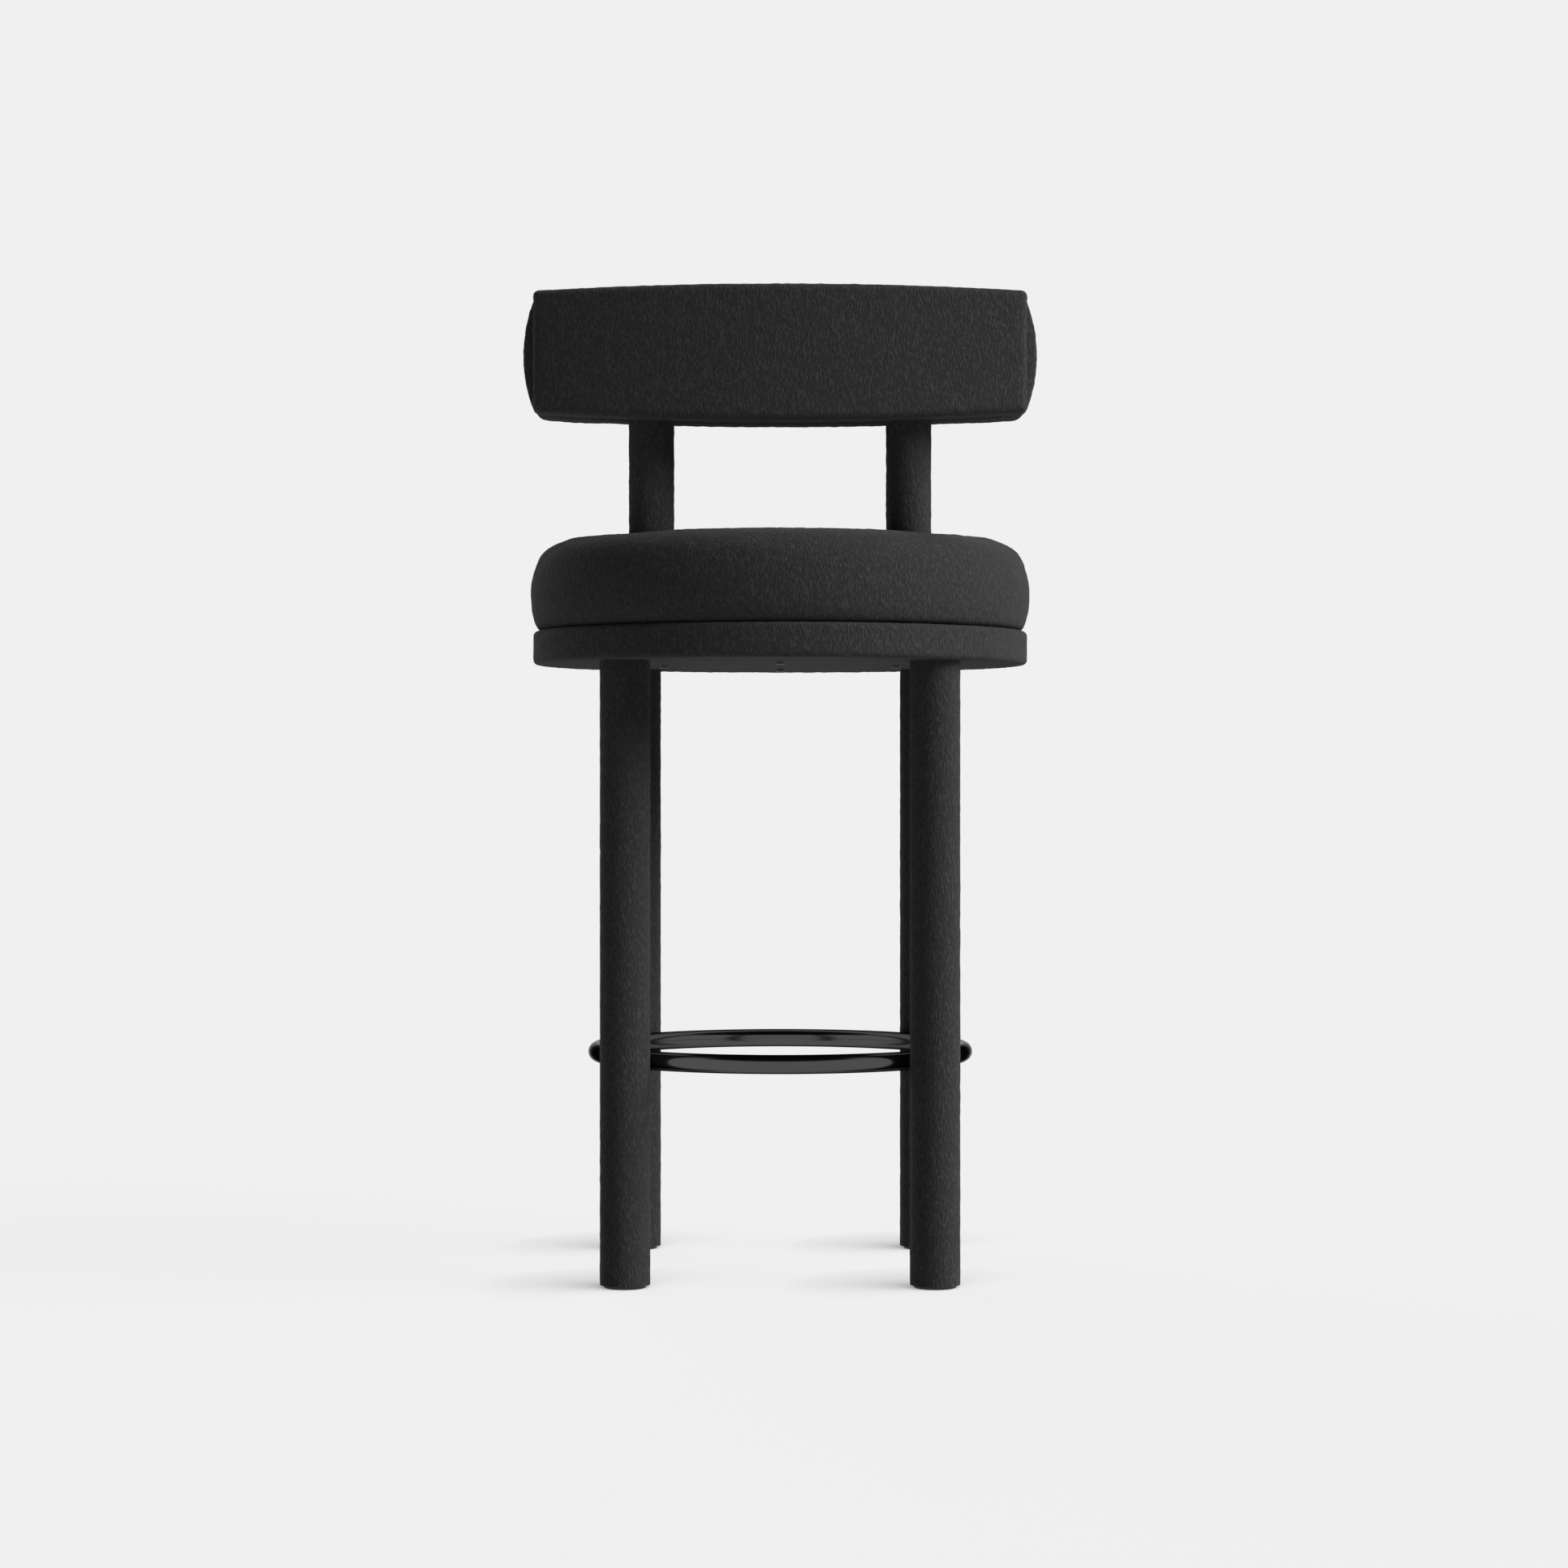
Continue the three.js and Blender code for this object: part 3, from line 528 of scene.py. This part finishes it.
MAKERS = {
    "boucle": looped_boucle,
    "black_nickel": black_nickel,
    "powder_coat": powder_coat,
    "zinc": zinc_plate,
    "beech": turned_beech,
    "birch": birch_plywood,
    "foam": open_cell_foam,
    "nylon": moulded_nylon,
}
MADE = {}


def finish(name):
    """The material of that name, made when it's first asked for."""
    if name not in MADE:
        MADE[name] = MAKERS[name]()
    return MADE[name]


# ---------------------------------------------------------------- the back's curve


def bent(obj):
    """Bends a flat slab to the back's curve. Its x runs across, its y forward from the rear face as
    negative numbers, and its z up from the lower edge."""
    s = sizes()
    width = BOARD_HIGH.x - BOARD_LOW.x
    height = BOARD_HIGH.z - BOARD_LOW.z
    x, y, z = places(obj).T
    up = z / height
    lift = (2 * x / width) ** 2 * (s.bow * (1 - up) - s.crown * up)
    axis_y = BOARD_HIGH.y - s.bend
    move_to(obj, np.stack([x, axis_y + np.sqrt((s.bend + y) ** 2 - x * x), BOARD_LOW.z + z + lift], 1))


def post_places():
    return [middle(f"post_tube_{name}") for name in POSTS]


def post_cutters(radius, low, high):
    return [upright("post_space", radius, low, high, 64, at=place.xy) for place in post_places()]


# ---------------------------------------------------------------- pieces


class STOOL_OT_stage(bpy.types.Operator):
    """Floor, lights and camera"""

    bl_idname = "stool.stage"
    bl_label = "Stage"

    def execute(self, context):
        self.floor()
        self.sun("key", strength=7.3, softness=40, towards=(-0.966, 0.259), elevation=35)
        self.sun("fill", strength=3.6, softness=40, towards=(0.5, -0.866), elevation=35)
        self.room()
        self.camera()
        return {"FINISHED"}

    def floor(self):
        """A wide plain floor that glows, so that it stays even out to the horizon. Beside each foot the
        glow is darkened into a painted shadow, by an occlusion test turned towards the key light's side."""
        obj = primitive("floor", "circle", vertices=64, radius=60.0, fill_type="NGON")
        material, tree, shader, own = blank("plain matt floor")
        # painted shadow: occlusion looking towards the key light's side dims the floor's glow beside each
        # foot
        light_side = add(tree, "CombineXYZ", values={"X": -0.62, "Y": 0.7, "Z": 0.35}).outputs[0]
        open_side = add(
            tree, "AmbientOcclusion", {"Normal": light_side}, {"Distance": 0.13}, samples=16
        ).outputs["AO"]
        path = add(tree, "LightPath").outputs["Is Diffuse Ray"]
        glow = add(tree, "MapRange", {"Value": path}, {"To Min": 0.925, "To Max": 0.8}).outputs[0]
        faded = add(tree, "Math", {0: glow, 1: open_side}, operation="MULTIPLY").outputs[0]
        tree.links.new(faded, shader.inputs["Emission Strength"])
        shader.inputs["Base Color"].default_value = (0.03, 0.03, 0.03, 1)
        shader.inputs["Specular IOR Level"].default_value = 0.0
        shader.inputs["Roughness"].default_value = 1.0
        shader.inputs["Emission Color"].default_value = colours().floor
        obj.data.materials.append(material)

    def sun(self, name, strength, softness, towards, elevation):
        """A wide soft light, left out of what the metal mirrors. Angles are in degrees."""
        light = bpy.data.lights.new(name, "SUN")
        light.energy = strength
        light.angle = math.radians(softness)
        obj = bpy.data.objects.new(name, light)
        obj.visible_glossy = False
        rise = math.radians(elevation)
        source = Vector((towards[0] * math.cos(rise), towards[1] * math.cos(rise), math.sin(rise)))
        obj.rotation_euler = source.to_track_quat("Z", "Y").to_euler()
        bpy.context.collection.objects.link(obj)

    def room(self):
        """A pale room with a dark ceiling, which is what the metal mirrors. It is plain where it is
        seen, and dimmer as light on cloth."""
        world = bpy.data.worlds.new("room")
        world.use_nodes = True
        tree = world.node_tree
        back = tree.nodes["Background"]
        path = add(tree, "LightPath").outputs
        towards = add(tree, "TexCoord").outputs["Generated"]
        height = add(
            tree, "VectorMath", {0: towards}, {1: (0, 0.35, 1)}, operation="DOT_PRODUCT"
        ).outputs["Value"]
        ceiling = add(
            tree, "MapRange", {"Value": height},
            {"From Min": 0.86, "From Max": 0.94, "To Min": 1.0, "To Max": 0.02},
        ).outputs[0]
        seen = add(tree, "Math", {0: ceiling, 1: path["Is Camera Ray"]}, operation="MAXIMUM").outputs[0]
        dim = add(
            tree, "MapRange", {"Value": path["Is Diffuse Ray"]}, {"To Min": 1.0, "To Max": 0.1}
        ).outputs[0]
        strength = add(tree, "Math", {0: seen, 1: dim}, operation="MULTIPLY").outputs[0]
        tree.links.new(strength, back.inputs["Strength"])
        back.inputs["Color"].default_value = colours().floor
        bpy.context.scene.world = world
        bpy.context.scene.view_settings.view_transform = "Standard"

    def camera(self):
        """A level camera behind the stool, at the height of the middle of the stool."""
        lens = bpy.data.cameras.new("camera")
        lens.lens = 83.2
        lens.sensor_width = 36
        obj = bpy.data.objects.new("camera", lens)
        obj.location = (-0.0039, 3.754, 0.5)
        obj.rotation_euler = (math.pi / 2, 0, math.pi)
        bpy.context.collection.objects.link(obj)
        bpy.context.scene.camera = obj


class STOOL_OT_legs(bpy.types.Operator):
    """Boucle sleeves of the four legs, let in for the footrest"""

    bl_idname = "stool.legs"
    bl_label = "Leg sleeves"

    def execute(self, context):
        s = sizes()
        around = round(math.pi * s.leg / s.facet / 4) * 4
        for name in LEGS:
            node = f"leg_sleeve_{name}"
            at = middle(node).xy
            obj = upright(node + "_boucle", s.leg / 2, LEG_LOW.z, LEG_HIGH.z, around, "NOTHING", at)
            face_grid(obj, 2, s.facet)
            self.pinch_seam(obj, at)
            raise_nap(obj)
            wall(obj, s.fabric)
            cut(obj, ring_cutter(s.ring_gap))
            hand_over(obj, finish("boucle"), "boucle", node)
        return {"FINISHED"}

    def pinch_seam(self, obj, at):
        """The sleeve's closing seam, a shallow groove on the side that faces the middle of the seat."""
        spots = places(obj)
        inward = -np.array(at) / at.length
        out = spots[:, :2] - np.array(at)
        off = np.arccos(np.clip(out @ inward / np.linalg.norm(out, axis=1), -1, 1)) * sizes().leg / 2
        depth = 0.9 * MM * np.exp(-((off / (1.6 * MM)) ** 2))
        spots[:, :2] -= out / np.linalg.norm(out, axis=1, keepdims=True) * depth[:, None]
        move_to(obj, spots)


def ring_cutter(clear):
    """A ring as thick as the footrest's tube with some clearance on each side."""
    s = sizes()
    return primitive(
        "ring_space", "torus", major_segments=192, minor_segments=32,
        major_radius=RING_HIGH.x - s.ring_tube / 2, minor_radius=s.ring_tube / 2 + clear,
        location=(0, 0, (RING_LOW.z + RING_HIGH.z) / 2),
    )


class STOOL_OT_glides(bpy.types.Operator):
    """Nylon glides under the legs"""

    bl_idname = "stool.glides"
    bl_label = "Glides"

    def execute(self, context):
        for name in LEGS:
            node = f"leg_glide_{name}"
            low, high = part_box(node)
            top = LEG_LOW.z
            radius = sizes().leg / 2 - sizes().glide_reveal
            obj = upright(node + "_nylon", radius, low.z, top, 64, at=middle(node).xy)
            edit(obj, "edges", rim(low.z), bpy.ops.mesh.bevel, offset=1 * MM, segments=3)
            edit(obj, "faces", disc(top), bpy.ops.mesh.inset, thickness=radius - 4 * MM)
            edit(obj, "faces", disc(top), bpy.ops.mesh.extrude_region_move,
                 TRANSFORM_OT_translate={"value": (0, 0, high.z - top)})
            edit(obj, "edges", rim(high.z), bpy.ops.mesh.bevel, offset=0.8 * MM, segments=2)
            hand_over(obj, finish("nylon"), "nylon", node)
        return {"FINISHED"}


class STOOL_OT_footrest(bpy.types.Operator):
    """Ring of plated steel tube, open inside, with a hole for each leg's rivet nut"""

    bl_idname = "stool.footrest"
    bl_label = "Footrest"

    def execute(self, context):
        s = sizes()
        obj = ring_cutter(0.0)
        obj.name = obj.data.name = "footrest_ring_nickel"
        cut(obj, ring_cutter(-s.ring_wall), *self.holes())
        hand_over(obj, finish("black_nickel"), "black_nickel", "footrest_ring", angle=30)
        return {"FINISHED"}

    def holes(self):
        height = (RING_LOW.z + RING_HIGH.z) / 2
        reach = RING_HIGH.x
        for name in LEGS:
            at = middle(f"leg_sleeve_{name}").xy
            turn = math.atan2(at.y, at.x)
            yield primitive(
                "rivet_hole", "cylinder", vertices=32, radius=4.7 * MM, depth=8 * MM,
                location=(reach * math.cos(turn), reach * math.sin(turn), height),
                rotation=(0, math.pi / 2, turn),
            )


class STOOL_OT_seat_base(bpy.types.Operator):
    """Boucle round the board of the seat base, turned in over its rim"""

    bl_idname = "stool.seat_base"
    bl_label = "Seat base"

    def execute(self, context):
        s = sizes()
        radius = BASE_HIGH.x
        around = round(2 * math.pi * radius / s.facet / 8) * 8
        obj = upright("seat_base_boucle", radius, BASE_LOW.z, BASE_HIGH.z, around)
        for height in (BASE_LOW.z, BASE_HIGH.z):
            edit(obj, "edges", rim(height), bpy.ops.mesh.bevel, offset=s.base_edge, segments=4)
        face_grid(obj, 2, s.facet)
        edit(obj, "faces", disc(BASE_HIGH.z), bpy.ops.mesh.inset, thickness=s.turned_in - s.base_edge)
        edit(obj, "faces", disc(BASE_HIGH.z), bpy.ops.mesh.delete, type="FACE")
        for _ in range(4):
            edit(obj, "faces", disc(BASE_LOW.z), bpy.ops.mesh.inset, thickness=s.turned_in)
        raise_nap(obj)
        wall(obj, s.fabric)
        cut(obj, *self.holes())
        hand_over(obj, finish("boucle"), "boucle", "seat_base_cover")
        return {"FINISHED"}

    def holes(self):
        low, high = BASE_LOW.z - 5 * MM, BASE_LOW.z + 8 * MM
        for name in LEGS:
            yield upright("bolt_hole", 5.3 * MM, low, high, 32, at=middle(f"leg_bolt_{name}").xy)
        for i in range(1, 5):
            yield upright("screw_hole", 2.8 * MM, low, high, 32, at=middle(f"cushion_screw_{i}").xy)


class STOOL_OT_seat_cushion(bpy.types.Operator):
    """Stuffed seat cushion with a rounded shoulder, drawn in at its seam and round the posts"""

    bl_idname = "stool.seat_cushion"
    bl_label = "Seat cushion"

    def execute(self, context):
        s = sizes()
        low = CUSHION_LOW.z
        high = CUSHION_HIGH.z - s.dome - s.puff
        obj = upright("seat_cushion_boucle", CUSHION_HIGH.x - MM, low, high, 128)
        edit(obj, "edges", rim(high), bpy.ops.mesh.bevel, offset=s.shoulder, segments=8, profile=0.6)
        self.stretch(obj, high - s.shoulder - MM, high + MM, high, (high - low - s.widest) / s.shoulder)
        edit(obj, "edges", rim(low), bpy.ops.mesh.bevel, offset=s.tuck, segments=6)
        self.stretch(obj, low - MM, low + s.tuck + MM, low, s.widest / s.tuck)
        posts = [np.array(place.xy) for place in post_places()]
        dimple = s.post / 2 + 9 * MM

        def held(x, y, z):
            return z < low + 4 * MM or min(np.hypot(x - p[0], y - p[1]) for p in posts) < dimple

        stuffed(obj, SEAT_CLOTH_STEP, held, s.puff)
        self.crown(obj, high)
        self.flatten_underside(obj, low)
        foam = foam_inside(obj, "seat_cushion_foam_block", s.fabric + 2 * s.nap)
        raise_nap(obj)
        spaces = (s.post / 2 + s.post_gap, low - PAST, high + 4 * PAST)
        cut(obj, *post_cutters(*spaces))
        hand_over(obj, finish("boucle"), "boucle", "seat_cushion_cover")
        board = upright(
            "board_space", SEAT_BOARD_HIGH.x + 0.5 * MM, low - PAST, SEAT_BOARD_HIGH.z + s.gap, 128
        )
        cut(foam, board, *post_cutters(*spaces))
        hand_over(foam, finish("foam"), "foam", "seat_cushion_foam")
        return {"FINISHED"}

    def stretch(self, obj, bottom, top, level, factor):
        """Scales the points between two heights up or down from a level."""
        spots = places(obj)
        inside = (spots[:, 2] > bottom) & (spots[:, 2] < top)
        spots[inside, 2] = level + (spots[inside, 2] - level) * factor
        move_to(obj, spots)

    def crown(self, obj, high):
        """Raises the top towards its middle, and less so further down."""
        s = sizes()
        spots = places(obj)
        flat = CUSHION_HIGH.x - s.shoulder
        inwards = np.clip(1 - (np.hypot(spots[:, 0], spots[:, 1]) / flat) ** 2, 0, 1)
        upper = np.clip((spots[:, 2] - CUSHION_LOW.z) / (high - CUSHION_LOW.z), 0, 1)
        spots[:, 2] += s.dome * inwards * upper
        move_to(obj, spots)

    def flatten_underside(self, obj, low):
        """The cushion rests on the seat base, so nothing hangs below its seam."""
        spots = places(obj)
        spots[:, 2] = np.maximum(spots[:, 2], low + sizes().nap)
        move_to(obj, spots)


class STOOL_OT_back_board(bpy.types.Operator):
    """Boucle round the bent board of the back, with crisp edges"""

    bl_idname = "stool.back_board"
    bl_label = "Back board"

    def execute(self, context):
        s = sizes()
        width = BOARD_HIGH.x - BOARD_LOW.x
        height = BOARD_HIGH.z - BOARD_LOW.z
        obj = primitive(
            "back_board_boucle", "cube", size=1, scale=(width, s.board_depth, height),
            location=(0, -s.board_depth / 2, height / 2),
        )
        edit(obj, "edges", along(1), bpy.ops.mesh.bevel, offset=s.board_edge, segments=3)
        edit(obj, "edges", across(1, 0), bpy.ops.mesh.bevel, offset=s.board_edge, segments=3)
        edit(obj, "edges", across(1, -s.board_depth), bpy.ops.mesh.bevel, offset=s.seam_edge, segments=2)
        for axis in range(3):
            face_grid(obj, axis, s.facet)
        raise_nap(obj)
        bent(obj)
        space = s.post_tube / 2 + s.tube_gap
        cut(obj, *post_cutters(space, BOARD_LOW.z - 3 * PAST, TUBE_HIGH.z + MM))
        hand_over(obj, finish("boucle"), "boucle", "back_board_cover")
        return {"FINISHED"}


class STOOL_OT_back_cushion(bpy.types.Operator):
    """Stuffed back cushion that bulges past the ends of its board"""

    bl_idname = "stool.back_cushion"
    bl_label = "Back cushion"

    def execute(self, context):
        s = sizes()
        height = BOARD_HIGH.z - BOARD_LOW.z
        half = (BOARD_HIGH.x - BOARD_LOW.x) / 2
        back = -s.board_depth - s.gap
        depth = s.pad_depth - MM
        obj = primitive(
            "back_cushion_boucle", "cube", size=1, scale=(2 * half, depth, height - 2 * MM),
            location=(0, back - depth / 2, height / 2),
        )
        edit(obj, "edges", along(1), bpy.ops.mesh.bevel, offset=2 * s.seam_edge, segments=2)
        edit(obj, "edges", across(1, back), bpy.ops.mesh.bevel, offset=s.seam_edge, segments=2)
        edit(obj, "edges", across(1, back - depth), bpy.ops.mesh.bevel, offset=s.pad_edge, segments=4,
             clamp_overlap=False)
        for axis in (0, 2):
            face_grid(obj, axis, 10 * MM)
        self.round_ends(obj, half, height)
        stuffed(obj, BACK_CLOTH_STEP, lambda x, y, z: y > back - 3 * MM, s.puff)
        foam = foam_inside(obj, "back_cushion_foam_block", s.fabric + 2 * s.nap)
        raise_nap(obj)
        for piece in (obj, foam):
            bent(piece)
        tube = s.post_tube / 2
        below = BOARD_LOW.z - 3 * PAST
        cut(obj, *post_cutters(tube + s.tube_gap, below, TUBE_HIGH.z + MM))
        cut(foam, *post_cutters(tube + 4 * MM, below, TUBE_HIGH.z + 2 * MM))
        hand_over(obj, finish("boucle"), "boucle", "back_pad_cover")
        hand_over(foam, finish("foam"), "foam", "back_pad_foam")
        return {"FINISHED"}

    def round_ends(self, obj, half, height):
        """Bows each end outwards, most at half height and nothing at the corners."""
        spots = places(obj)
        x, y, z = spots.T
        bulge = PAD_HIGH.x - half
        run = 40 * MM
        end = np.clip((np.abs(x) - half + run) / run, 0, 1)
        bow = 1 - (2 * z / height - 1) ** 2
        spots[:, 0] = x + np.sign(x) * bulge * bow * end * end
        move_to(obj, spots)


class STOOL_OT_posts(bpy.types.Operator):
    """Boucle sleeves of the two posts, shaped at the top to the back's bowed underside"""

    bl_idname = "stool.posts"
    bl_label = "Post sleeves"

    def execute(self, context):
        s = sizes()
        around = round(math.pi * s.post / s.facet / 4) * 4
        for name, at in zip(POSTS, post_places()):
            node = f"post_sleeve_{name}"
            low = POST_LOW.z
            high = BOARD_LOW.z
            obj = upright(node + "_boucle", s.post / 2, low, high, around, "NOTHING", at.xy)
            face_grid(obj, 2, s.facet)
            spots = places(obj)
            width = BOARD_HIGH.x - BOARD_LOW.x
            rise = (2 * spots[:, 0] / width) ** 2 * s.bow
            spots[:, 2] += rise * (spots[:, 2] - low) / (high - low)
            move_to(obj, spots)
            raise_nap(obj)
            wall(obj, s.fabric)
            hand_over(obj, finish("boucle"), "boucle", node)
        return {"FINISHED"}


class STOOL_OT_inside(bpy.types.Operator):
    """Materials of the wood, steel and fasteners under the covers"""

    bl_idname = "stool.inside"
    bl_label = "Inner parts"

    FINISHES = {
        "leg_core": "beech",
        "leg_insert": "zinc",
        "leg_bolt": "zinc",
        "ring_bolt": "zinc",
        "ring_rivet_nut": "zinc",
        "seat_base_board": "birch",
        "seat_cushion_board": "birch",
        "cushion_screw": "powder_coat",
        "post_tube": "powder_coat",
        "flange_screw": "zinc",
        "back_screw": "zinc",
        "back_board": "birch",
    }

    def execute(self, context):
        for node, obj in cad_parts.items():
            kind = max((k for k in self.FINISHES if node.startswith(k)), key=len, default=None)
            if kind:
                obj.data.materials.clear()
                obj.data.materials.append(finish(self.FINISHES[kind]))
        return {"FINISHED"}


# ---------------------------------------------------------------- add-on

PIECES = (
    STOOL_OT_stage,
    STOOL_OT_legs,
    STOOL_OT_glides,
    STOOL_OT_footrest,
    STOOL_OT_seat_base,
    STOOL_OT_seat_cushion,
    STOOL_OT_back_board,
    STOOL_OT_back_cushion,
    STOOL_OT_posts,
    STOOL_OT_inside,
)


class STOOL_PT_panel(bpy.types.Panel):
    """The stool's sizes, colours and pieces"""

    bl_idname = "STOOL_PT_panel"
    bl_label = "Bar stool"
    bl_space_type = "VIEW_3D"
    bl_region_type = "UI"
    bl_category = "Stool"

    def draw(self, context):
        for piece in PIECES:
            self.layout.operator(piece.bl_idname)
        for group in (context.scene.stool_sizes, context.scene.stool_colours):
            box = self.layout.box()
            for name in group.__annotations__:
                box.prop(group, name)


CLASSES = (StoolSizes, StoolColours, *PIECES, STOOL_PT_panel)


def register():
    for cls in CLASSES:
        bpy.utils.register_class(cls)
    bpy.types.Scene.stool_sizes = PointerProperty(type=StoolSizes)
    bpy.types.Scene.stool_colours = PointerProperty(type=StoolColours)


def unregister():
    del bpy.types.Scene.stool_colours
    del bpy.types.Scene.stool_sizes
    for cls in reversed(CLASSES):
        bpy.utils.unregister_class(cls)


def main():
    register()
    for piece in PIECES:
        group, name = piece.bl_idname.split(".")
        getattr(getattr(bpy.ops, group), name)()


if __name__ == "__main__":
    main()
